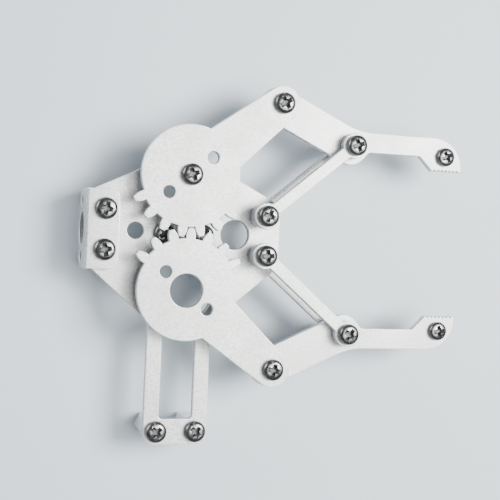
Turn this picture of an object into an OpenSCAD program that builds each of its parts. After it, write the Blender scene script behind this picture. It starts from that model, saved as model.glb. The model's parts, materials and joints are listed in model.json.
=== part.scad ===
// Two-jaw robot gripper cut from 2 mm aluminium plate, worked by one standard hobby servo.
// The servo turns the right gear arm. It meshes with the left gear arm, and each arm carries a
// finger that a pair of parallel links keeps pointing forward.
// Frame: origin at the centre of the wrist bore, on the outer face of the wrist flange.
// +X points to the fingertips, +Y to the left (idler) side and +Z up, square to the plates.

/* [Plates] */
// Thickness of every plate
plate_t = 2; // [1.5:0.5:2.5]
// Running gap between two plates that turn on each other
run_gap = 0.1; // [0.05:0.05:0.2]
// Height of the gear arms and top links above the deck
arm_lift = 4; // [3.5:0.5:5]

/* [Deck plate] */
// Wrist face to the line through the two gear centres
wrist_to_gears = 24.6; // [24.2:0.2:28]
// Gear line to the front edge of the deck
deck_front = 25.4; // [25:0.1:28]
// Half width of the deck at its front edge
deck_front_half = 8; // [7.6:0.1:9]
// Half width of the deck at its back edge
deck_back_half = 10; // [9.5:0.1:11]
// Outer width of the servo frame that reaches out to the right
frame_w = 16.2; // [15.6:0.2:18]
// Gear line centre to the far end of the servo frame
frame_reach = 53.4; // [53:0.2:56]
// Width of the window along the servo frame
window_w = 8.6; // [8:0.2:9]
// Diameter of the opening for the servo's output
shaft_opening_d = 16.6; // [16:0.2:17]

/* [Gears and arms] */
// Teeth that are cut on each sector
sector_teeth = 7; // [6:1:7]
// Pivot to pivot length of the gear arms and links
arm_l = 30; // [28:0.5:32]
// Angle of both arms from straight ahead in the rest pose
rest_angle = 40; // [34:1:46]
// Radius of the round end of an arm
arm_end_r = 4.5; // [4.2:0.1:5]
// Angle between the middle line of a gear arm and each of its sides
arm_taper = 4.6; // [3:0.2:5]
// Bore that clears the boss of the servo horn
horn_bore_d = 8.4; // [8:0.1:9]
// Pitch circle of the two horn screws
horn_pcd = 14; // [13.5:0.5:15]
// Diameter of the horn screw holes
horn_hole_d = 3.1; // [3:0.1:3.4]

/* [Fingers and links] */
// Gear line to the pivots of the links on the deck
link_pivot_x = 20; // [19:0.5:21]
// Distance of the link pivots from the centre line
link_pivot_y = 5; // [4.8:0.1:5.5]
// Half width of the bar at the root of a finger
finger_half = 4.6; // [4.4:0.1:4.8]
// Link pivot to the front end of the finger
finger_reach = 32.2; // [31:0.2:36]
// Width of the straight front bar of a finger
finger_bar_w = 5.25; // [5:0.05:5.5]
// Link pivot to the gripping edge
jaw_drop = 4.8; // [4.6:0.1:4.9]
// Length of the gripping edge
jaw_l = 8.7; // [8:0.1:10]
// Number of notches across the gripping edge
jaw_notches = 7; // [5:1:8]
// Width of a link between its eyes
link_w = 3; // [2.6:0.2:3.6]
// Radius of the eyes of a link
link_eye_r = 3.3; // [3.1:0.1:3.6]

/* [Wrist bracket] */
// Width of the bracket
bracket_w = 19.6; // [19:0.2:20]
// Length of the tab that lies on the deck, from the flange's outer face
bracket_tab = 8.1; // [7.8:0.1:9]
// Radius of the outer corner between tab and flange
corner_r = 0.5; // [0.3:0.1:1]
// Depth of the flange below the top of the deck
flange_drop = 13; // [12.5:0.5:16]
// Height of the top of the deck above the wrist bore
wrist_to_deck = 7; // [6.5:0.5:7.5]

/* [Servo mount] */
// Spacing of the servo screws along the servo
servo_long = 49.5; // [49:0.5:50]
// Spacing of the servo screws across the servo
servo_wide = 10; // [9.5:0.5:10.5]
// Servo output axis to the near pair of screws
servo_near = 13.75; // [13.5:0.25:14.5]
// Length of the standoffs that hold the servo below the deck
standoff_l = 10; // [8:1:12]

/* [Fasteners] */
// Diameter of a hole that turns on a screw
pivot_hole_d = 3.1; // [3.06:0.02:3.2]
// Diameter of a pan head
head_d = 5.4; // [5.2:0.1:5.8]
// Height of a pan head
head_h = 2; // [1.8:0.1:2.2]
// Height of a nut with a locking collar
locknut_h = 4; // [3.6:0.1:4]
// Height of a plain nut
nut_h = 2.4; // [2:0.1:2.4]
// Diameter of the small screws at the fingertips
tip_screw_d = 2.5; // [2:0.1:2.5]
// Outer diameter of the spacers and washers
spacer_d = 5.6; // [5.2:0.1:6]
// Outer diameter of the nylon insert in a locking nut
insert_d = 4.2; // [4:0.1:4.4]
// Height of the nylon insert in a locking nut
insert_h = 1.2; // [1:0.1:1.3]

/* [Hidden] */
$fn = 64;
eps = 0.01;

plate_colour = "gainsboro";
steel_colour = "dimgray";
spacer_colour = "silver";
nylon_colour = "whitesmoke";

// Standard M3 screw, and the width of its nut across the flats.
screw_d = 3;
nut_w = 5.5;

// Gear geometry. A full gear of this size would have gear_teeth teeth.
gear_module = 1.5;
gear_teeth = 19;
pressure_angle = 20;
pitch_r = gear_module * gear_teeth / 2;
tooth_pitch = 360 / gear_teeth;
base_r = pitch_r * cos(pressure_angle);
tip_r = pitch_r + 1.15;
root_r = pitch_r - 1.35;
disc_r = pitch_r - 1.85;
backlash = 0.4;
// Angle of the first idler tooth, measured from its arm round towards the other gear.
first_tooth = 80.3;

// Pivots, from the point on the deck midway between the gears. Left side; the right is mirrored.
gear_y = pitch_r;
gear_pivot = [0, gear_y];
link_pivot = [link_pivot_x, link_pivot_y];
arm_step = arm_l * [cos(rest_angle), sin(rest_angle)];
elbow = gear_pivot + arm_step;
knuckle = link_pivot + arm_step;

// Heights above the deck.
arm_z = arm_lift + run_gap;
head_z = arm_z + plate_t + run_gap;
finger_z = 1;
low_link_z = -2 * plate_t - run_gap;
low_nut_z = low_link_z - run_gap;

// Finger outline, from its link pivot, with the knuckle bar running back to the elbow.
bar_run = gear_pivot - link_pivot;
bar_dir = bar_run / norm(bar_run);
bar_out = [bar_dir[1], -bar_dir[0]];
bar_top = 4.05;
ear_r = 4.7;
ear_angle = -40;
tip_corner_r = 8;
tip_screw_at = [finger_reach - 5.2, -1];

servo_near_y = -gear_y + servo_near;
servo_far_y = servo_near_y - servo_long;
bracket_screw_at = [4.6, 5];

// Where two lines meet, each given by a normal and its distance along that normal.
function meet(n1, d1, n2, d2) =
    let (det = n1[0] * n2[1] - n1[1] * n2[0])
    [(d1 * n2[1] - d2 * n1[1]) / det, (n1[0] * d2 - n2[0] * d1) / det];

// Points of an outline whose corners are given as [x, y, radius].
function rounded(corners, steps = 8) = [
    for (i = [0:len(corners) - 1])
        let (
            n = len(corners),
            here = [corners[i][0], corners[i][1]],
            back = [corners[(i + n - 1) % n][0], corners[(i + n - 1) % n][1]] - here,
            ahead = [corners[(i + 1) % n][0], corners[(i + 1) % n][1]] - here,
            a = back / norm(back),
            b = ahead / norm(ahead),
            half = acos(max(-1, min(1, a * b))) / 2,
            middle = here + (a + b) / norm(a + b) * corners[i][2] / sin(half),
            from = here + a * corners[i][2] / tan(half) - middle,
            turn = (a[0] * b[1] - a[1] * b[0] > 0 ? -1 : 1) * (180 - 2 * half)
        )
        for (k = [0:corners[i][2] > 0 ? steps : 0])
            let (s = turn * k / steps)
            middle + [from[0] * cos(s) - from[1] * sin(s), from[0] * sin(s) + from[1] * cos(s)]
];

function involute(angle) = tan(angle) * 180 / PI - angle;

// Half the angle that a tooth covers at radius r.
function tooth_half(r) =
    (PI * gear_module / 2 - backlash / 2) / 2 / pitch_r * 180 / PI
    + involute(pressure_angle) - involute(acos(min(1, base_r / r)));

function polar(r, angle) = r * [cos(angle), sin(angle)];

// One tooth, centred on the given angle, from root to root.
function tooth(angle, steps = 4) = concat(
    [polar(root_r, angle - tooth_half(base_r))],
    [for (k = [0:steps]) let (r = base_r + (tip_r - base_r) * k / steps) polar(r, angle - tooth_half(r))],
    [for (k = [steps:-1:0]) let (r = base_r + (tip_r - base_r) * k / steps) polar(r, angle + tooth_half(r))],
    [polar(root_r, angle + tooth_half(base_r))]
);

// Moves a part from the deck's own coordinates to the wrist frame.
module on_deck() {
    translate([wrist_to_gears, 0, wrist_to_deck]) children();
}

// Puts a left-hand part on the right-hand side.
module on_right() {
    on_deck() mirror([0, 1, 0]) children();
}

module plate_at(z) {
    translate([0, 0, z]) linear_extrude(plate_t) children();
}

module hole(d, at) {
    translate([at[0], at[1], -50]) cylinder(d = d, h = 100);
}

// A pan head screw with a cross recess. Its seat is at z = 0 and its shank runs down.
module pan_screw(shank, d = screw_d, head = head_d, high = head_h) {
    slot = head * 0.17;
    difference() {
        union() {
            rotate_extrude() polygon(concat(
                [[0, 0], [head / 2, 0], [head / 2, high * 0.35]],
                [for (a = [15:15:75]) [head * 0.34 + head * 0.16 * cos(a), high * (0.35 + 0.65 * sin(a))]],
                [[head * 0.34, high], [0, high]]
            ));
            translate([0, 0, -shank]) cylinder(d = d, h = shank + eps);
        }
        for (a = [0, 90]) rotate([0, 0, a + 20]) {
            translate([-head * 0.3, -slot / 2, high * 0.4]) cube([head * 0.6, slot, high]);
        }
    }
}

module washer(h, d = spacer_d, bore = screw_d) {
    difference() {
        cylinder(d = d, h = h);
        translate([0, 0, -1]) cylinder(d = bore, h = h + 2);
    }
}

// A nut hanging below z = 0. A locking nut has a round collar below its hexagon.
module nut(h = nut_h, w = nut_w, bore = screw_d, collar = false) {
    hex_h = collar ? h * 0.65 : h;
    translate([0, 0, -h]) difference() {
        union() {
            translate([0, 0, h - hex_h]) cylinder(d = w / cos(30), h = hex_h, $fn = 6);
            if (collar) cylinder(d = w * 0.9, h = h - hex_h + eps);
        }
        translate([0, 0, -1]) cylinder(d = bore, h = h + 2);
    }
}

// A locking nut with a recess in its collar, which the nylon insert fills.
module lock_nut() {
    difference() {
        nut(h = locknut_h, collar = true);
        translate([0, 0, -locknut_h - 1]) cylinder(d = insert_d, h = insert_h + 1);
    }
}

// The nylon insert of a locking nut whose top face is at z = 0.
module nut_insert() {
    translate([0, 0, -locknut_h]) washer(insert_h, d = insert_d);
}

module deck_outline() {
    left = plate_t + run_gap - wrist_to_gears;
    apex_r = 6;
    apex = [0, gear_y];
    foot = frame_w / 2;
    waist = -22.6;
    back = [left, deck_back_half];
    front = [deck_front, deck_front_half];
    back_rise = atan2(apex[1] - back[1], apex[0] - back[0]) + asin(apex_r / norm(apex - back));
    front_rise = atan2(apex[1] - front[1], front[0] - apex[0]) + asin(apex_r / norm(front - apex));
    back_n = [-sin(back_rise), cos(back_rise)];
    front_n = [sin(front_rise), cos(front_rise)];
    top = meet(back_n, back_n * back, front_n, front_n * front);
    polygon(rounded([
        [back[0], back[1], 0.8],
        [top[0], top[1], apex_r],
        [front[0], front[1], 1],
        [front[0], -front[1], 1],
        [foot, waist, 1],
        [foot, -frame_reach, 2.7],
        [-foot, -frame_reach, 2.7],
        [-foot, waist, 1],
        [back[0], -back[1], 0.8]
    ]));
}

module deck_plate() color(plate_colour) on_deck() difference() {
    window_end = -46.9;
    plate_at(-plate_t) deck_outline();
    hole(shaft_opening_d, [0, -gear_y]);
    translate([0, 0, -5]) linear_extrude(10) polygon(rounded([
        [-window_w / 2, -gear_y, 0.5],
        [window_w / 2, -gear_y, 0.5],
        [window_w / 2, window_end, 0.8],
        [-window_w / 2, window_end, 0.8]
    ]));
    hole(screw_d, gear_pivot);
    for (side = [-1, 1]) {
        hole(screw_d, [link_pivot[0], side * link_pivot[1]]);
        hole(screw_d, [bracket_screw_at[0] - wrist_to_gears, side * bracket_screw_at[1]]);
        for (y = [servo_near_y, servo_far_y]) hole(screw_d, [side * servo_wide / 2, y]);
    }
    hole(4.2, [-12.2, 0]);
    hole(7.6, [13.4, 0]);
    hole(4.5, [-4.2, 9.6]);
}

// An angle profile. Its own frame has the flange's outer face at x = 0 and the deck's top at z = 0.
module wrist_bracket() color(plate_colour) translate([0, 0, wrist_to_deck]) difference() {
    half = bracket_w / 2;
    intersection() {
        translate([0, half, 0]) rotate([90, 0, 0]) linear_extrude(bracket_w) polygon(rounded([
            [0, plate_t, corner_r],
            [0, -flange_drop, 0],
            [plate_t, -flange_drop, 0],
            [plate_t, 0, 0],
            [bracket_tab, 0, 0],
            [bracket_tab, plate_t, 0]
        ]));
        union() {
            linear_extrude(plate_t) polygon(rounded([
                [0, -half, 0],
                [bracket_tab, -half, 2.4],
                [bracket_tab, half, 2.4],
                [0, half, 0]
            ]));
            rotate([90, 0, 90]) linear_extrude(plate_t) polygon(rounded([
                [half, plate_t, 0],
                [-half, plate_t, 0],
                [-half, -flange_drop, 5],
                [half, -flange_drop, 5]
            ]));
        }
    }
    for (side = [-1, 1]) {
        hole(screw_d, [bracket_screw_at[0], side * bracket_screw_at[1]]);
        translate([-5, side * horn_pcd / 2, -wrist_to_deck]) rotate([0, 90, 0]) cylinder(d = horn_hole_d, h = 10);
    }
    translate([-5, 0, -wrist_to_deck]) rotate([0, 90, 0]) cylinder(d = horn_bore_d, h = 10);
}

// The bracket screws thread into the deck, because the flange leaves no room for nuts.
module bracket_screws() color(steel_colour) for (side = [-1, 1]) {
    translate([bracket_screw_at[0], side * bracket_screw_at[1], wrist_to_deck + plate_t]) {
        pan_screw(2 * plate_t + 0.5);
    }
}

module at_servo_screws() {
    for (side = [-1, 1]) for (y = [servo_near_y, servo_far_y]) {
        on_deck() translate([side * servo_wide / 2, y, 0]) children();
    }
}

module servo_screws() color(steel_colour) at_servo_screws() {
    pan_screw(plate_t + 4);
}

module servo_standoffs() color(spacer_colour) at_servo_screws() translate([0, 0, -plate_t]) {
    difference() {
        translate([0, 0, -standoff_l]) cylinder(d = nut_w / cos(30), h = standoff_l, $fn = 6);
        translate([0, 0, -4.5]) cylinder(d = screw_d, h = 5);
        translate([0, 0, -standoff_l - 1]) cylinder(d = 2.5, h = standoff_l);
    }
}

module idler_screw() color(steel_colour) on_deck() translate([0, gear_y, head_z]) {
    pan_screw(head_z + plate_t + locknut_h + 1);
}

module idler_bush() color(spacer_colour) on_deck() translate([0, gear_y, 0]) {
    washer(arm_lift, d = 7);
}

module idler_nut() color(steel_colour) on_deck() translate([0, gear_y, -plate_t]) {
    lock_nut();
}

module at_link_pivots() {
    for (side = [-1, 1]) {
        on_deck() translate([link_pivot[0], side * link_pivot[1], 0]) children();
    }
}

module link_pivot_screws() color(steel_colour) at_link_pivots() translate([0, 0, head_z]) {
    pan_screw(head_z - low_nut_z + locknut_h + 1);
}

module link_pivot_spacers() color(spacer_colour) at_link_pivots() {
    washer(arm_lift);
}

module link_pivot_nuts() color(steel_colour) at_link_pivots() translate([0, 0, low_nut_z]) {
    lock_nut();
}

module deck_nut_inserts() color(nylon_colour) {
    on_deck() translate([0, gear_y, -plate_t]) nut_insert();
    at_link_pivots() translate([0, 0, low_nut_z]) nut_insert();
}

// Toothed sector with its arm, pivot at the origin and arm along +X. Teeth run round from the
// arm towards -Y, which is the side of the other gear.
module gear_arm(bore, phase) difference() {
    side_n = [sin(arm_taper), cos(arm_taper)];
    side_d = arm_l * side_n[0] + arm_end_r;
    corner = meet(side_n, side_d, [1, 0], arm_l + arm_end_r);
    root_half = side_d / side_n[1];
    end_r = arm_end_r - 0.02;
    linear_extrude(plate_t) union() {
        circle(r = disc_r, $fn = 128);
        polygon(concat(
            [[0, 0]],
            [for (i = [sector_teeth - 1:-1:0]) each tooth(-phase - i * tooth_pitch)]
        ));
        polygon(rounded([
            [0, -root_half, 0],
            [corner[0], -corner[1], end_r],
            [corner[0], corner[1], end_r],
            [0, root_half, 0]
        ]));
    }
    hole(bore, [0, 0]);
    hole(screw_d, [arm_l, 0]);
    for (side = [-1, 1]) hole(horn_hole_d, [side * horn_pcd / 2, 0]);
}

module idler_gear_arm() color(plate_colour) on_deck() translate([0, gear_y, arm_z]) rotate([0, 0, rest_angle]) {
    gear_arm(pivot_hole_d, first_tooth);
}

module drive_gear_arm() color(plate_colour) on_right() translate([0, gear_y, arm_z]) rotate([0, 0, rest_angle]) {
    gear_arm(horn_bore_d, first_tooth - tooth_pitch / 2);
}

module elbow_screw() color(steel_colour) translate([elbow[0], elbow[1], arm_z + plate_t]) {
    pan_screw(arm_z + plate_t - finger_z + run_gap + locknut_h + 1);
}

module elbow_washer() color(spacer_colour) {
    h = arm_z - finger_z - plate_t - run_gap;
    translate([elbow[0], elbow[1], arm_z - h]) washer(h);
}

module elbow_nut() color(steel_colour) translate([elbow[0], elbow[1], finger_z - run_gap]) {
    lock_nut();
}

module elbow_insert() color(nylon_colour) translate([elbow[0], elbow[1], finger_z - run_gap]) {
    nut_insert();
}

module idler_elbow_screw() on_deck() elbow_screw();
module idler_elbow_washer() on_deck() elbow_washer();
module idler_elbow_nut() on_deck() elbow_nut();
module idler_elbow_insert() on_deck() elbow_insert();
module drive_elbow_screw() on_right() elbow_screw();
module drive_elbow_washer() on_right() elbow_washer();
module drive_elbow_nut() on_right() elbow_nut();
module drive_elbow_insert() on_right() elbow_insert();

// Finger outline about its link pivot: knuckle bar, straight bar and hooked tip.
module finger_outline() {
    up = [0, 1];
    ear_n = [cos(ear_angle), sin(ear_angle)];
    bar_bottom = bar_top - finger_bar_w;
    bend = meet(bar_out, finger_half, up, bar_top);
    neck = meet(ear_n, ear_r, up, bar_bottom);
    ear = meet(ear_n, ear_r, bar_out, -ear_r);
    back = bar_run + finger_half * bar_dir;
    back_top = back + finger_half * bar_out;
    back_low = back - ear_r * bar_out;
    jaw_start = finger_reach - jaw_l;
    slant = bar_bottom + jaw_drop;
    polygon(rounded([
        [back_top[0], back_top[1], finger_half - 0.05],
        [bend[0], bend[1], 18],
        [finger_reach, bar_top, tip_corner_r],
        [finger_reach, -jaw_drop, 0.5],
        [jaw_start, -jaw_drop, 0.3],
        [jaw_start - slant, bar_bottom, 0.8],
        [neck[0], neck[1], 1.5],
        [ear[0], ear[1], ear_r],
        [back_low[0], back_low[1], finger_half - 0.05]
    ]));
}

module finger() color(plate_colour) translate([knuckle[0], knuckle[1], finger_z]) difference() {
    notch_pitch = (jaw_l - 0.9) / jaw_notches;
    notch = 0.55;
    linear_extrude(plate_t) finger_outline();
    hole(screw_d, [0, 0]);
    hole(pivot_hole_d, bar_run);
    hole(tip_screw_d, tip_screw_at);
    for (i = [0:jaw_notches - 1]) {
        translate([finger_reach - 0.6 - (i + 0.5) * notch_pitch, -jaw_drop, -1]) rotate([0, 0, 45]) {
            translate([-notch / 2, -notch / 2, 0]) cube([notch, notch, 5]);
        }
    }
}

module at_knuckle(z) {
    translate([knuckle[0], knuckle[1], z]) children();
}

module knuckle_screw() color(steel_colour) at_knuckle(head_z) {
    pan_screw(head_z - low_nut_z + locknut_h + 1);
}

module knuckle_washer() color(spacer_colour) at_knuckle(finger_z + plate_t) {
    washer(arm_lift - finger_z - plate_t);
}

module knuckle_spacer() color(spacer_colour) at_knuckle(-plate_t) {
    washer(finger_z + plate_t);
}

module knuckle_nut() color(steel_colour) at_knuckle(low_nut_z) {
    lock_nut();
}

module knuckle_insert() color(nylon_colour) at_knuckle(low_nut_z) {
    nut_insert();
}

module at_tip(z) {
    translate([knuckle[0] + tip_screw_at[0], knuckle[1] + tip_screw_at[1], z]) children();
}

module tip_screw() color(steel_colour) at_tip(finger_z + plate_t) {
    pan_screw(plate_t + 3, d = tip_screw_d, head = 5, high = 1.8);
}

module tip_nut() color(steel_colour) at_tip(finger_z) {
    nut(h = 2, w = 5, bore = tip_screw_d);
}

// Flat link with an eye at each end, from the deck pivot to the knuckle.
module link(z) color(plate_colour) translate([link_pivot[0], link_pivot[1], z]) rotate([0, 0, rest_angle]) {
    difference() {
        linear_extrude(plate_t) union() {
            translate([0, -link_w / 2]) square([arm_l, link_w]);
            for (x = [0, arm_l]) translate([x, 0]) circle(r = link_eye_r);
        }
        for (x = [0, arm_l]) hole(pivot_hole_d, [x, 0]);
    }
}

module left_finger() on_deck() finger();
module left_knuckle_screw() on_deck() knuckle_screw();
module left_knuckle_washer() on_deck() knuckle_washer();
module left_knuckle_spacer() on_deck() knuckle_spacer();
module left_knuckle_nut() on_deck() knuckle_nut();
module left_knuckle_insert() on_deck() knuckle_insert();
module left_tip_screw() on_deck() tip_screw();
module left_tip_nut() on_deck() tip_nut();
module left_link_top() on_deck() link(arm_z);
module left_link_bottom() on_deck() link(low_link_z);
module right_finger() on_right() finger();
module right_knuckle_screw() on_right() knuckle_screw();
module right_knuckle_washer() on_right() knuckle_washer();
module right_knuckle_spacer() on_right() knuckle_spacer();
module right_knuckle_nut() on_right() knuckle_nut();
module right_knuckle_insert() on_right() knuckle_insert();
module right_tip_screw() on_right() tip_screw();
module right_tip_nut() on_right() tip_nut();
module right_link_top() on_right() link(arm_z);
module right_link_bottom() on_right() link(low_link_z);

deck_plate();
wrist_bracket();
bracket_screws();
servo_standoffs();
servo_screws();
idler_screw();
idler_bush();
idler_nut();
link_pivot_screws();
link_pivot_spacers();
link_pivot_nuts();
deck_nut_inserts();
idler_gear_arm();
idler_elbow_screw();
idler_elbow_washer();
idler_elbow_nut();
idler_elbow_insert();
drive_gear_arm();
drive_elbow_screw();
drive_elbow_washer();
drive_elbow_nut();
drive_elbow_insert();
left_finger();
left_knuckle_screw();
left_knuckle_washer();
left_knuckle_spacer();
left_knuckle_nut();
left_knuckle_insert();
left_tip_screw();
left_tip_nut();
left_link_top();
left_link_bottom();
right_finger();
right_knuckle_screw();
right_knuckle_washer();
right_knuckle_spacer();
right_knuckle_nut();
right_knuckle_insert();
right_tip_screw();
right_tip_nut();
right_link_top();
right_link_bottom();
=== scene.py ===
"""Looks of a two-jaw robot gripper: deburred plates, cross-recess screws, lock nuts and turned spacers.

Lengths are metres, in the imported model's frame: +X to the fingertips, +Y to the idler side, +Z up.
Each piece here stands for one CAD node and takes its place and size from that node.
"""

import json
import math

import bmesh
import bpy
from mathutils import Matrix, Vector, noise
from mathutils.geometry import tessellate_polygon


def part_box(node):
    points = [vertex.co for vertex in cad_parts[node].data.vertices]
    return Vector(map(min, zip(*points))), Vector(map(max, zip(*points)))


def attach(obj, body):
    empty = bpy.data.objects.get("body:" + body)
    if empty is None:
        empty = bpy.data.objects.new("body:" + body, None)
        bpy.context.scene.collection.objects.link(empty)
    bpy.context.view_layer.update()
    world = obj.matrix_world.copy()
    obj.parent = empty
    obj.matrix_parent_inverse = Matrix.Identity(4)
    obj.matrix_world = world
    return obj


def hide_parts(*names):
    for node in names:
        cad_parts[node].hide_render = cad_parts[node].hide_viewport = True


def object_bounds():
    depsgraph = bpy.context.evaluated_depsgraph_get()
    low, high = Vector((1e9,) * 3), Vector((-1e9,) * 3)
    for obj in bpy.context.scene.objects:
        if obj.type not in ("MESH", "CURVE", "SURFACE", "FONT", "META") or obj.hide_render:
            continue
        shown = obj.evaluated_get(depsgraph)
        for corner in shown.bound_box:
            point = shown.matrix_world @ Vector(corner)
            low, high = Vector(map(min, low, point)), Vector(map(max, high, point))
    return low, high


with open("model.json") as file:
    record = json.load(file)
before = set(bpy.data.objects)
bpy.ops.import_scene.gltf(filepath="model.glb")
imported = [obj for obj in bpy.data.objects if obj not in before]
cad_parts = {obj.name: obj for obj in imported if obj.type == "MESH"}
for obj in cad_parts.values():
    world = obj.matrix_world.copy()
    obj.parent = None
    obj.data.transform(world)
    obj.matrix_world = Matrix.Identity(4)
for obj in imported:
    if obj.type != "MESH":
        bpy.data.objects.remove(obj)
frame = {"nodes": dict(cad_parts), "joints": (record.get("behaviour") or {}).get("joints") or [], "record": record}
cad_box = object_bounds()

MM = 0.001
TOUCH = 2e-6
record = frame["record"]
SLOT = {part["node"]: part["material_slot"] for part in record["subparts"]}
BODY = {node: body for body, nodes in record["behaviour"]["bodies"].items() for node in nodes}
JOINT_AT = {joint["name"]: Vector(joint["pos_m"]) for joint in frame["joints"]}
DECK_MIDDLE = (JOINT_AT["drive_arm_turn"] + JOINT_AT["idler_arm_turn"]) / 2

# Plates
PLATE_EDGE = 0.2 * MM
EDGE_SPREAD = 0.35
EDGE_STEPS = 3
OUTLINE_STEP = 1.2 * MM

# Fasteners: thread diameter, head diameter, head height, and half the span of the recess
M3_SCREW = (3.0 * MM, 5.4 * MM, 2.0 * MM, 1.7 * MM)
TIP_SCREW = (2.5 * MM, 5.0 * MM, 1.8 * MM, 1.55 * MM)
THREAD_PITCH = 0.5 * MM
THREAD_DEPTH = 0.25 * MM
TURN_SEGMENTS = 72

# Angles of the screw recesses, in degrees, one for each solid of a node
RECESS_ANGLES = {
    "bracket_screws": [12, -14],
    "servo_screws": [43, 33, 48, -28],
    "idler_screw": [24],
    "link_pivot_screws": [5, -20],
    "idler_elbow_screw": [33],
    "drive_elbow_screw": [-12],
    "left_knuckle_screw": [20],
    "right_knuckle_screw": [-35],
    "left_tip_screw": [28],
    "right_tip_screw": [8],
}


# ---------------------------------------------------------------- reading the CAD nodes

def welded(node):
    """The node's mesh with its split corners joined, as a new bmesh."""
    bm = bmesh.new()
    bm.from_mesh(frame["nodes"][node].data)
    bmesh.ops.remove_doubles(bm, verts=bm.verts, dist=TOUCH)
    bm.verts.index_update()
    return bm


def solids(node):
    """The lowest and highest corners of each separate solid in a node, ordered by place."""
    bm = welded(node)
    left = set(bm.verts)
    boxes = []
    while left:
        island = set()
        reached = [left.pop()]
        while reached:
            vert = reached.pop()
            island.add(vert)
            near = {edge.other_vert(vert) for edge in vert.link_edges} & left
            left -= near
            reached.extend(near)
        low = Vector([min(v.co[i] for v in island) for i in range(3)])
        high = Vector([max(v.co[i] for v in island) for i in range(3)])
        boxes.append((low, high))
    bm.free()
    return sorted(boxes, key=lambda box: tuple(round(c, 5) for c in box[0]))


def face_loops(node, axis, level):
    """Outlines of the node's flat face at that level of an axis. The material is on the left of each."""
    bm = welded(node)
    flat = {f for f in bm.faces if all(abs(v.co[axis] - level) < TOUCH for v in f.verts)}
    following = {}
    for face in flat:
        for corner in face.loops:
            if any(other not in flat for other in corner.edge.link_faces):
                following[corner.vert] = corner.link_loop_next.vert
    loops = []
    while following:
        vert = next(iter(following))
        loop = []
        while vert in following:
            loop.append(vert.co.copy())
            vert = following.pop(vert)
        loops.append(loop)
    bm.free()
    return loops


# ---------------------------------------------------------------- mesh building

def skin(bm, rings, loop=False):
    """Joins successive rings of points with faces. A ring of one point is a pole."""
    made = [[bm.verts.new(point) for point in ring] for ring in rings]
    pairs = list(zip(made, made[1:]))
    if loop:
        pairs.append((made[-1], made[0]))
    for low, high in pairs:
        for i in range(max(len(low), len(high))):
            after = i + 1
            corners = [low[i % len(low)], low[after % len(low)], high[after % len(high)], high[i % len(high)]]
            bm.faces.new(list(dict.fromkeys(corners)))
    return made


def turn(bm, axis, sections, loop=True):
    """Adds a solid round a vertical axis. A section is (radius, height), or gives both for an angle."""
    rings = []
    for section in sections:
        if not callable(section) and section[0] == 0:
            rings.append([Vector((axis.x, axis.y, section[1]))])
            continue
        ring = []
        for i in range(TURN_SEGMENTS):
            angle = math.tau * i / TURN_SEGMENTS
            radius, height = section(angle) if callable(section) else section
            x = axis.x + radius * math.cos(angle)
            y = axis.y + radius * math.sin(angle)
            ring.append(Vector((x, y, height)))
        rings.append(ring)
    skin(bm, rings, loop)


def show(node, bm, sharp=28):
    """Makes bm the piece that is shown in place of a CAD node."""
    bmesh.ops.recalc_face_normals(bm, faces=bm.faces)
    mesh = bpy.data.meshes.new(node + "_detail")
    bm.to_mesh(mesh)
    bm.free()
    mesh.shade_smooth()
    mesh.set_sharp_from_angle(angle=math.radians(sharp))
    mesh.materials.append(MATERIALS[SLOT[node]])
    piece = bpy.data.objects.new(node + "_detail", mesh)
    bpy.context.scene.collection.objects.link(piece)
    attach(piece, BODY[node])
    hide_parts(node)
    return piece


# ---------------------------------------------------------------- plates

def spaced(loop):
    """The outline with its long sides divided, so that the deburred edge can vary along them."""
    points = []
    for here, after in zip(loop, loop[1:] + loop[:1]):
        parts = max(1, math.ceil((after - here).length / OUTLINE_STEP))
        points.extend(here.lerp(after, i / parts) for i in range(parts))
    return points


def inward(loop):
    """For each point of an outline, the mitred step that moves both its sides in by one."""
    steps = []
    for before, here, after in zip(loop[-1:] + loop[:-1], loop, loop[1:] + loop[:1]):
        came = (here - before).normalized()
        goes = (after - here).normalized()
        left = Vector((-came.y, came.x)) + Vector((-goes.y, goes.x))
        steps.append(left / (1 + came.dot(goes)))
    return steps


def deburred_width(point):
    """Width of the rounded edge, which differs a little from place to place as hand deburring leaves it."""
    return PLATE_EDGE * (1 + EDGE_SPREAD * noise.noise(Vector((point.x, point.y, 0.3 * MM)) * 260))


def plate(loops, bottom, top):
    """A flat plate with rounded edges, from 2-D outlines. The attribute that masks the painted edge highlight is 1
    along its edges.
    """
    bm = bmesh.new()
    rim_highlight = bm.verts.layers.float.new("rim_highlight")
    caps = {0: [], -1: []}
    quarter = [math.pi / 2 * i / EDGE_STEPS for i in range(EDGE_STEPS + 1)]
    levels = [(-1, angle) for angle in reversed(quarter)] + [(1, angle) for angle in quarter]
    for loop in map(spaced, loops):
        steps = inward(loop)
        widths = [deburred_width(point) for point in loop]
        rings = []
        for side, angle in levels:
            face = top if side > 0 else bottom
            ring = []
            for point, step, width in zip(loop, steps, widths):
                moved = point + step * width * (1 - math.cos(angle))
                ring.append(Vector((moved.x, moved.y, face - side * width * (1 - math.sin(angle)))))
            rings.append(ring)
        made = skin(bm, rings)
        for (side, angle), ring in zip(levels, made):
            for vert in ring:
                vert[rim_highlight] = math.sin(2 * angle)
        for end in caps:
            caps[end].append(made[end])
    for rings in caps.values():
        flat = [vert for ring in rings for vert in ring]
        for corners in tessellate_polygon([[vert.co for vert in ring] for ring in rings]):
            bm.faces.new([flat[i] for i in corners])
    return bm


def flat_plate(node):
    low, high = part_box(node)
    loops = [[point.to_2d() for point in loop] for loop in face_loops(node, 2, high.z)]
    show(node, plate(loops, low.z, high.z), sharp=12)


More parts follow.
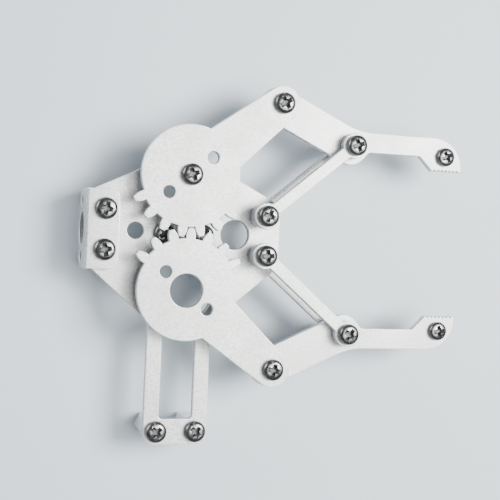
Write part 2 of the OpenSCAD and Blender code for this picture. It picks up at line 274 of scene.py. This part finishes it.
def angle_bracket(node):
    """The CAD solid with its outer edges rounded, and the same attribute for the painted edge highlight as a
    plate.
    """
    bm = welded(node)
    rim_highlight = bm.verts.layers.float.new("rim_highlight")
    bmesh.ops.dissolve_limit(bm, angle_limit=math.radians(1), verts=bm.verts, edges=bm.edges)
    sharp = [e for e in bm.edges if e.is_convex and e.calc_face_angle(0) > math.radians(40)]
    made = bmesh.ops.bevel(
        bm, geom=sharp, offset=PLATE_EDGE, segments=EDGE_STEPS, profile=0.5, affect="EDGES"
    )
    edge_faces = set(made["faces"])
    for vert in bm.verts:
        vert[rim_highlight] = all(face in edge_faces for face in vert.link_faces)
    show(node, bm, sharp=12)


# ---------------------------------------------------------------- screws

def cross_ring(span, half_width, corner, height):
    """One level of a cross recess: four arms with their inner corners cut off."""
    ring = []
    for quarter in range(4):
        turned = Matrix.Rotation(math.pi / 2 * quarter, 3, "Z")
        for x, y in (
            (span, -half_width),
            (span, half_width),
            (half_width + corner, half_width),
            (half_width, half_width + corner),
        ):
            ring.append(turned @ Vector((x, y, height)))
    return ring


def object_of(bm, name):
    mesh = bpy.data.meshes.new(name)
    bmesh.ops.recalc_face_normals(bm, faces=bm.faces)
    bm.to_mesh(mesh)
    bm.free()
    made = bpy.data.objects.new(name, mesh)
    bpy.context.scene.collection.objects.link(made)
    return made


def recessed_head(size):
    """Mesh of a pan head with a cross recess, with its seat at the origin."""
    thread_d, head_d, height, span = size
    radius = head_d / 2
    side = 0.28 * height
    crown = 2 / 3.3
    dome = []
    for i in range(13):
        angle = math.pi / 2 * i / 13
        dome.append((radius * math.cos(angle) ** crown, side + (height - side) * math.sin(angle) ** crown))
    bm = bmesh.new()
    under = thread_d / 2 - THREAD_DEPTH
    foot = [(0, 0.02 * MM), (under, 0), (radius - 0.12 * MM, 0), (radius, 0.12 * MM)]
    sections = foot + dome + [(0, height)]
    turn(bm, Vector((0, 0, 0)), sections, loop=False)
    head = object_of(bm, "head_blank")

    bm = bmesh.new()
    depth = 0.66 * height
    arm = 0.33 * span
    rings = [
        [Vector((0, 0, height - depth - 0.16 * MM))],
        cross_ring(0.52 * span, 0.66 * arm, 0.1 * MM, height - depth),
        cross_ring(0.92 * span, 0.9 * arm, 0.16 * MM, height - 0.16 * MM),
        cross_ring(1.0 * span, 1.08 * arm, 0.2 * MM, height - 0.04 * MM),
        cross_ring(1.15 * span, 1.9 * arm, 0.2 * MM, height + 0.3 * MM),
        [Vector((0, 0, height + 0.3 * MM))],
    ]
    skin(bm, rings)
    cutter = object_of(bm, "recess_cutter")

    cut = head.modifiers.new("recess", "BOOLEAN")
    cut.operation = "DIFFERENCE"
    cut.solver = "EXACT"
    cut.object = cutter
    shown = head.evaluated_get(bpy.context.evaluated_depsgraph_get())
    mesh = bpy.data.meshes.new_from_object(shown)
    bpy.data.objects.remove(head)
    bpy.data.objects.remove(cutter)
    return mesh


def add_thread(bm, axis, low, high, core):
    """Adds a closed helical ridge round a shank, which fades out at both ends."""
    per_turn = 24
    count = int((high - low) / THREAD_PITCH * per_turn)
    rings = []
    for i in range(count + 1):
        angle = math.tau * i / per_turn
        out = Vector((math.cos(angle), math.sin(angle), 0))
        fade = max(0.06, min(1, i / per_turn, (count - i) / per_turn))
        middle = Vector((axis.x, axis.y, low + THREAD_PITCH * i / per_turn))
        rings.append([
            middle + out * (core + reach * THREAD_DEPTH * fade) + Vector((0, 0, rise * THREAD_PITCH * fade))
            for reach, rise in ((-0.2, -0.46), (1, -0.08), (1, 0.08), (-0.2, 0.46))
        ])
    made = skin(bm, rings)
    bm.faces.new(made[0])
    bm.faces.new(list(reversed(made[-1])))


def screws(node, size, head_mesh):
    """Every screw of a node: recessed head, shank and thread."""
    thread_d, _, head_h, _ = size
    core = thread_d / 2 - THREAD_DEPTH
    bm = bmesh.new()
    for (low, high), angle in zip(solids(node), RECESS_ANGLES[node]):
        axis = (low + high) / 2
        seat = high.z - head_h
        place = Matrix.Translation((axis.x, axis.y, seat)) @ Matrix.Rotation(math.radians(angle), 4, "Z")
        first = len(bm.verts)
        bm.from_mesh(head_mesh)
        bm.verts.ensure_lookup_table()
        bmesh.ops.transform(bm, matrix=place, verts=bm.verts[first:])
        tip = 0.3 * MM
        top = seat + 0.1 * MM
        shank = [(0, low.z), (core - tip, low.z), (core, low.z + tip), (core, top), (0, top)]
        turn(bm, axis, shank, loop=False)
        add_thread(bm, axis, low.z + 0.6 * THREAD_PITCH, seat - 0.6 * THREAD_PITCH, core)
    show(node, bm)


# ---------------------------------------------------------------- nuts, standoffs and rings

def hexagon(flat, ring_r, height, slope):
    """A section along a chamfered hexagon's edge: where it passes the ring, it drops by the slope."""
    def section(angle):
        radius = flat / math.cos(angle % (math.pi / 3) - math.pi / 6)
        return radius, height + slope * (radius - ring_r)
    return section


def nut(bm, low, high, flat, bore, collar=0.0, insert=(0.0, 0.0)):
    """A chamfered nut under its seat at high. A lock nut has a collar below, open for its insert."""
    axis = (low + high) / 2
    ring_r = 0.95 * flat
    slope = math.tan(math.radians(30))
    break_in = 0.25 * MM
    hex_low = low.z + collar
    sections = [
        (bore, high.z - break_in),
        (bore + break_in, high.z),
        (ring_r, high.z),
        hexagon(flat, ring_r, high.z, -slope),
        hexagon(flat, ring_r, hex_low, slope),
        (ring_r, hex_low),
    ]
    if collar:
        wall = 0.9 * flat
        insert_r, insert_h = insert
        lip = wall - insert_r - 0.06 * MM
        sections += [(wall, hex_low - 0.05 * MM), (wall, low.z + lip)]
        for angle in (30, 60, 90):
            turned = math.radians(angle)
            sections.append((wall - lip * (1 - math.cos(turned)), low.z + lip * (1 - math.sin(turned))))
        sections += [(insert_r, low.z + 0.06 * MM), (insert_r, low.z + insert_h), (bore, low.z + insert_h)]
    else:
        sections += [(bore + break_in, low.z), (bore, low.z + break_in)]
    turn(bm, axis, sections)


def lock_nuts(node):
    bm = bmesh.new()
    for low, high in solids(node):
        flat = (high.y - low.y) / 2
        nut(bm, low, high, flat, 1.5 * MM, collar=0.35 * (high.z - low.z), insert=(2.1 * MM, 1.2 * MM))
    show(node, bm)


def plain_nuts(node):
    bm = bmesh.new()
    for low, high in solids(node):
        nut(bm, low, high, (high.y - low.y) / 2, 1.25 * MM)
    show(node, bm)


def standoffs(node):
    """Hexagonal posts, drilled for the deck screw above and tapped for the servo's screw below."""
    bm = bmesh.new()
    for low, high in solids(node):
        flat = (high.y - low.y) / 2
        ring_r = 0.94 * flat
        slope = math.tan(math.radians(30))
        sections = [
            (1.25 * MM, low.z + 0.35 * MM),
            (1.6 * MM, low.z),
            (ring_r, low.z),
            hexagon(flat, ring_r, low.z, slope),
            hexagon(flat, ring_r, high.z, -slope),
            (ring_r, high.z),
            (1.5 * MM, high.z),
            (1.5 * MM, high.z - 4.5 * MM),
            (1.25 * MM, high.z - 4.5 * MM),
        ]
        turn(bm, (low + high) / 2, sections)
    show(node, bm)


def rings(node, bore, soft=0.12 * MM):
    """Washers, spacers and inserts: plain rings with broken edges."""
    bm = bmesh.new()
    for low, high in solids(node):
        outer = (high.x - low.x) / 2
        edge = min(soft, (high.z - low.z) / 4)
        turn(bm, (low + high) / 2, [
            (bore, low.z + edge),
            (bore + edge, low.z),
            (outer - edge, low.z),
            (outer - 0.3 * edge, low.z + 0.3 * edge),
            (outer, low.z + edge),
            (outer, high.z - edge),
            (outer - 0.3 * edge, high.z - 0.3 * edge),
            (outer - edge, high.z),
            (bore + edge, high.z),
            (bore, high.z - edge),
        ])
    show(node, bm)


# ---------------------------------------------------------------- materials

class Nodes:
    """Short calls that add and join shader nodes of one material."""

    def __init__(self, name):
        self.material = bpy.data.materials.new(name)
        self.material.use_nodes = True
        self.tree = self.material.node_tree
        self.shader = self.tree.nodes["Principled BSDF"]
        self.place = self.tree.nodes.new("ShaderNodeTexCoord").outputs["Object"]

    def link(self, source, target):
        self.tree.links.new(source, target)

    def stretched(self, scale):
        """Object coordinates, scaled differently along each axis."""
        mapping = self.tree.nodes.new("ShaderNodeMapping")
        mapping.inputs["Scale"].default_value = scale
        self.link(self.place, mapping.inputs["Vector"])
        return mapping.outputs["Vector"]

    def noise(self, scale, detail=3.0, place=None, roughness=0.55):
        texture = self.tree.nodes.new("ShaderNodeTexNoise")
        texture.inputs["Scale"].default_value = scale
        texture.inputs["Detail"].default_value = detail
        texture.inputs["Roughness"].default_value = roughness
        self.link(place or self.place, texture.inputs["Vector"])
        return texture.outputs["Fac"]

    def speckle(self, scale):
        """Distance from the centres of small random cells."""
        texture = self.tree.nodes.new("ShaderNodeTexVoronoi")
        texture.inputs["Scale"].default_value = scale
        self.link(self.place, texture.inputs["Vector"])
        return texture.outputs["Distance"]

    def ranged(self, value, low, high, to_low, to_high):
        """The value carried from one range to another and held inside it."""
        node = self.tree.nodes.new("ShaderNodeMapRange")
        for name, number in (("From Min", low), ("From Max", high), ("To Min", to_low), ("To Max", to_high)):
            node.inputs[name].default_value = number
        self.link(value, node.inputs["Value"])
        return node.outputs["Result"]

    def math(self, operation, a, b):
        node = self.tree.nodes.new("ShaderNodeMath")
        node.operation = operation
        for socket, value in zip(node.inputs, (a, b)):
            if isinstance(value, (int, float)):
                socket.default_value = value
            else:
                self.link(value, socket)
        return node.outputs["Value"]

    def mixed(self, share, a, b):
        """Colour a where the share is 0 and b where it is 1."""
        node = self.tree.nodes.new("ShaderNodeMix")
        node.data_type = "RGBA"
        self.link(share, node.inputs["Factor"])
        for name, value in (("A", a), ("B", b)):
            socket = [s for s in node.inputs if s.name == name and s.type == "RGBA"][0]
            if isinstance(value, tuple):
                socket.default_value = (*value, 1)
            else:
                self.link(value, socket)
        return [s for s in node.outputs if s.type == "RGBA"][0]

    def bump(self, height, distance, strength=1.0, under=None):
        node = self.tree.nodes.new("ShaderNodeBump")
        node.inputs["Strength"].default_value = strength
        node.inputs["Distance"].default_value = distance
        self.link(height, node.inputs["Height"])
        if under:
            self.link(under, node.inputs["Normal"])
        return node.outputs["Normal"]

    def wear_and_highlight(self):
        """1 on outer edges, from how far the surface bends there. It lightens edges: edge wear on the nuts,
        spacers and nylon, and a painted highlight on the screws.
        """
        geometry = self.tree.nodes.new("ShaderNodeNewGeometry")
        return self.ranged(geometry.outputs["Pointiness"], 0.52, 0.62, 0, 1)

    def enclosed(self, reach):
        """1 far inside a recess and 0 in the open, from ambient occlusion; it masks painted shade there."""
        node = self.tree.nodes.new("ShaderNodeAmbientOcclusion")
        node.only_local = True
        node.inputs["Distance"].default_value = reach
        return self.ranged(node.outputs["AO"], 0.25, 0.75, 1, 0)

    def finish(self, colour=None, roughness=None, normal=None, metallic=None, **fixed):
        linked = {"Base Color": colour, "Roughness": roughness, "Normal": normal, "Metallic": metallic}
        for name, source in linked.items():
            if source is not None:
                self.link(source, self.shader.inputs[name])
        for name, value in fixed.items():
            self.shader.inputs[name.replace("_", " ")].default_value = value
        return self.material


def plate_material():
    """Tumbled aluminium sheet: speckled faces, drawn marks on the cut sides, and a near-white painted highlight
    along the rounded edges.
    """
    n = Nodes("aluminium_plate")
    grain = n.noise(2100, detail=5, roughness=0.75)
    pits = n.speckle(2300)
    clouds = n.noise(90, detail=5)
    drawn = n.noise(1, detail=3, place=n.stretched((5200, 5200, 260)))

    normal_z = n.tree.nodes.new("ShaderNodeSeparateXYZ")
    geometry = n.tree.nodes.new("ShaderNodeNewGeometry")
    n.link(geometry.outputs["True Normal"], normal_z.inputs["Vector"])
    facing = n.math("ABSOLUTE", normal_z.outputs["Z"], 0)
    side = n.ranged(facing, 0.25, 0.6, 1, 0)
    # Painted highlight: a near-white colour along the rounded edges, less metallic and smoother there, varying in
    # strength along them.
    rim_highlight_source = n.tree.nodes.new("ShaderNodeAttribute")
    rim_highlight_source.attribute_name = "rim_highlight"
    rim_highlight = n.math("MULTIPLY", rim_highlight_source.outputs["Fac"], n.ranged(n.noise(420, detail=2), 0.3, 0.55, 0.55, 1))

    face = n.mixed(n.ranged(grain, 0.38, 0.62, 0, 1), (0.27, 0.274, 0.278), (0.58, 0.58, 0.572))
    face = n.mixed(n.ranged(clouds, 0.35, 0.7, 0, 0.35), face, (0.48, 0.48, 0.47))
    cut = n.mixed(n.ranged(drawn, 0.35, 0.65, 0, 1), (0.36, 0.38, 0.40), (0.60, 0.62, 0.64))
    # The near-white mix over the edges is the painted highlight.
    colour = n.mixed(rim_highlight, n.mixed(side, face, cut), (0.96, 0.98, 1.0))
    metallic = n.ranged(rim_highlight, 0, 1, 0.6, 0.3)

    roughness = n.math("ADD", n.ranged(grain, 0.3, 0.7, 0.40, 0.52), n.ranged(clouds, 0.35, 0.7, -0.04, 0.05))
    roughness = n.math("SUBTRACT", roughness, n.math("MULTIPLY", rim_highlight, 0.16))
    speck = n.bump(n.math("ADD", grain, n.math("MULTIPLY", pits, 0.6)), 0.012 * MM, 0.55)
    normal = n.bump(n.math("MULTIPLY", drawn, side), 0.02 * MM, 0.6, under=speck)
    return n.finish(colour, roughness, normal, metallic)


def dark_screw_material():
    """Black nickel over steel, with a painted highlight along the edges of the recess and painted shade inside it.
    """
    n = Nodes("black_nickel")
    blotch = n.noise(900, detail=4)
    fine = n.noise(7000, detail=2)
    colour = n.mixed(n.ranged(blotch, 0.35, 0.65, 0, 1), (0.115, 0.12, 0.125), (0.19, 0.19, 0.185))
    # Painted highlight: light grey on the sharp edges of the recess and head, where light catches them.
    colour = n.mixed(n.wear_and_highlight(), colour, (0.62, 0.62, 0.60))
    # Painted shade: the colour goes near black inside the recess, where shade falls; the same mask raises
    # roughness and lowers metallic there.
    recess_shade = n.enclosed(2.5 * MM)
    colour = n.mixed(recess_shade, colour, (0.045, 0.045, 0.044))
    roughness = n.math("ADD", n.ranged(blotch, 0.3, 0.7, 0.2, 0.32), n.math("MULTIPLY", recess_shade, 0.55))
    return n.finish(colour, roughness, n.bump(fine, 0.006 * MM, 0.5), n.ranged(recess_shade, 0, 1, 1, 0.1))


def nut_material():
    """Zinc plate, slightly blue, with faint tumbling dents."""
    n = Nodes("zinc_plate")
    blotch = n.noise(700, detail=4)
    dents = n.speckle(1500)
    colour = n.mixed(n.ranged(blotch, 0.35, 0.65, 0, 1), (0.50, 0.52, 0.55), (0.68, 0.70, 0.72))
    colour = n.mixed(n.wear_and_highlight(), colour, (0.82, 0.83, 0.84))
    roughness = n.ranged(blotch, 0.3, 0.7, 0.26, 0.4)
    return n.finish(colour, roughness, n.bump(dents, 0.01 * MM, 0.4), Metallic=1.0)


def spacer_material():
    """Turned aluminium: fine rings from the lathe tool, level with the axis."""
    n = Nodes("turned_aluminium")
    tool = n.noise(1, detail=2, place=n.stretched((60, 60, 9000)))
    blotch = n.noise(500, detail=3)
    colour = n.mixed(n.ranged(blotch, 0.35, 0.65, 0, 1), (0.58, 0.59, 0.61), (0.74, 0.75, 0.76))
    colour = n.mixed(n.ranged(tool, 0.35, 0.65, 0, 0.3), colour, (0.42, 0.43, 0.45))
    colour = n.mixed(n.wear_and_highlight(), colour, (0.84, 0.85, 0.86))
    roughness = n.ranged(tool, 0.35, 0.65, 0.24, 0.4)
    return n.finish(colour, roughness, n.bump(tool, 0.01 * MM, 0.5), Metallic=0.95)


def nylon_material():
    """Natural nylon, faintly cloudy."""
    n = Nodes("natural_nylon")
    blotch = n.noise(800, detail=3)
    colour = n.mixed(n.ranged(blotch, 0.35, 0.65, 0, 1), (0.78, 0.78, 0.75), (0.87, 0.87, 0.85))
    colour = n.mixed(n.wear_and_highlight(), colour, (0.93, 0.93, 0.91))
    roughness = n.ranged(blotch, 0.3, 0.7, 0.4, 0.55)
    return n.finish(colour, roughness, n.bump(blotch, 0.01 * MM, 0.4), Subsurface_Weight=0.15)


def floor_material():
    n = Nodes("pale_floor")
    soft = n.noise(6, detail=2)
    colour = n.mixed(n.ranged(soft, 0.3, 0.7, 0, 1), (0.52, 0.585, 0.63), (0.55, 0.615, 0.66))
    return n.finish(colour, n.ranged(soft, 0.3, 0.7, 0.6, 0.7))


MATERIALS = {
    "plate": plate_material(),
    "dark_screw": dark_screw_material(),
    "steel_nut": nut_material(),
    "spacer": spacer_material(),
    "nylon": nylon_material(),
}


# ---------------------------------------------------------------- floor, light and camera

def floor():
    half = 1.5
    height = cad_box[0].z - 0.05 * MM
    bm = bmesh.new()
    corners = [(-half, -half), (half, -half), (half, half), (-half, half)]
    bm.faces.new([bm.verts.new((x, y, height)) for x, y in corners])
    ground = object_of(bm, "floor")
    ground.data.materials.append(floor_material())


def area_light(name, offset, size, watts, colour=(1, 1, 1)):
    """A soft square light at that offset from the middle of the deck, turned to face it."""
    data = bpy.data.lights.new(name, "AREA")
    data.size = size
    data.energy = watts
    data.color = colour
    light = bpy.data.objects.new(name, data)
    light.location = DECK_MIDDLE + Vector(offset)
    light.rotation_euler = (-Vector(offset)).to_track_quat("-Z", "Y").to_euler()
    bpy.context.scene.collection.objects.link(light)


def lighting():
    world = bpy.data.worlds.new("studio")
    world.use_nodes = True
    background = world.node_tree.nodes["Background"]
    background.inputs["Color"].default_value = (0.86, 0.89, 0.93, 1)
    background.inputs["Strength"].default_value = 0.35
    bpy.context.scene.world = world
    area_light("key", (0.27, 0.07, 0.44), 0.22, 5.9, (1.0, 0.985, 0.96))
    area_light("overhead", (0.14, -0.03, 0.62), 0.4, 4.2)
    area_light("window", (-0.60, 0.30, 0.10), 0.4, 4.8, (0.93, 0.97, 1.0))


def camera():
    """Looks down on the deck, leaning back towards the wrist."""
    data = bpy.data.cameras.new("camera")
    data.lens = 72
    data.sensor_width = 36
    data.clip_start = 0.01
    view = bpy.data.objects.new("camera", data)
    view.location = DECK_MIDDLE + Vector((-57.8, -1.0, 244.5)) * MM
    view.rotation_euler = [math.radians(angle) for angle in (-1.4, -17.1, 2.7)]
    bpy.context.scene.collection.objects.link(view)
    bpy.context.scene.camera = view


# ---------------------------------------------------------------- the object

camera()
floor()
lighting()

for name in ("deck_plate", "idler_gear_arm", "drive_gear_arm"):
    flat_plate(name)
for side in ("left", "right"):
    for part in ("finger", "link_top", "link_bottom"):
        flat_plate(f"{side}_{part}")
angle_bracket("wrist_bracket")

m3_head = recessed_head(M3_SCREW)
tip_head = recessed_head(TIP_SCREW)
for name in RECESS_ANGLES:
    if "tip" in name:
        screws(name, TIP_SCREW, tip_head)
    else:
        screws(name, M3_SCREW, m3_head)

for name, slot_name in SLOT.items():
    if slot_name == "steel_nut" and "tip" in name:
        plain_nuts(name)
    elif slot_name == "steel_nut":
        lock_nuts(name)
standoffs("servo_standoffs")
for name, slot_name in SLOT.items():
    if slot_name in ("spacer", "nylon") and name != "servo_standoffs":
        rings(name, 1.5 * MM)
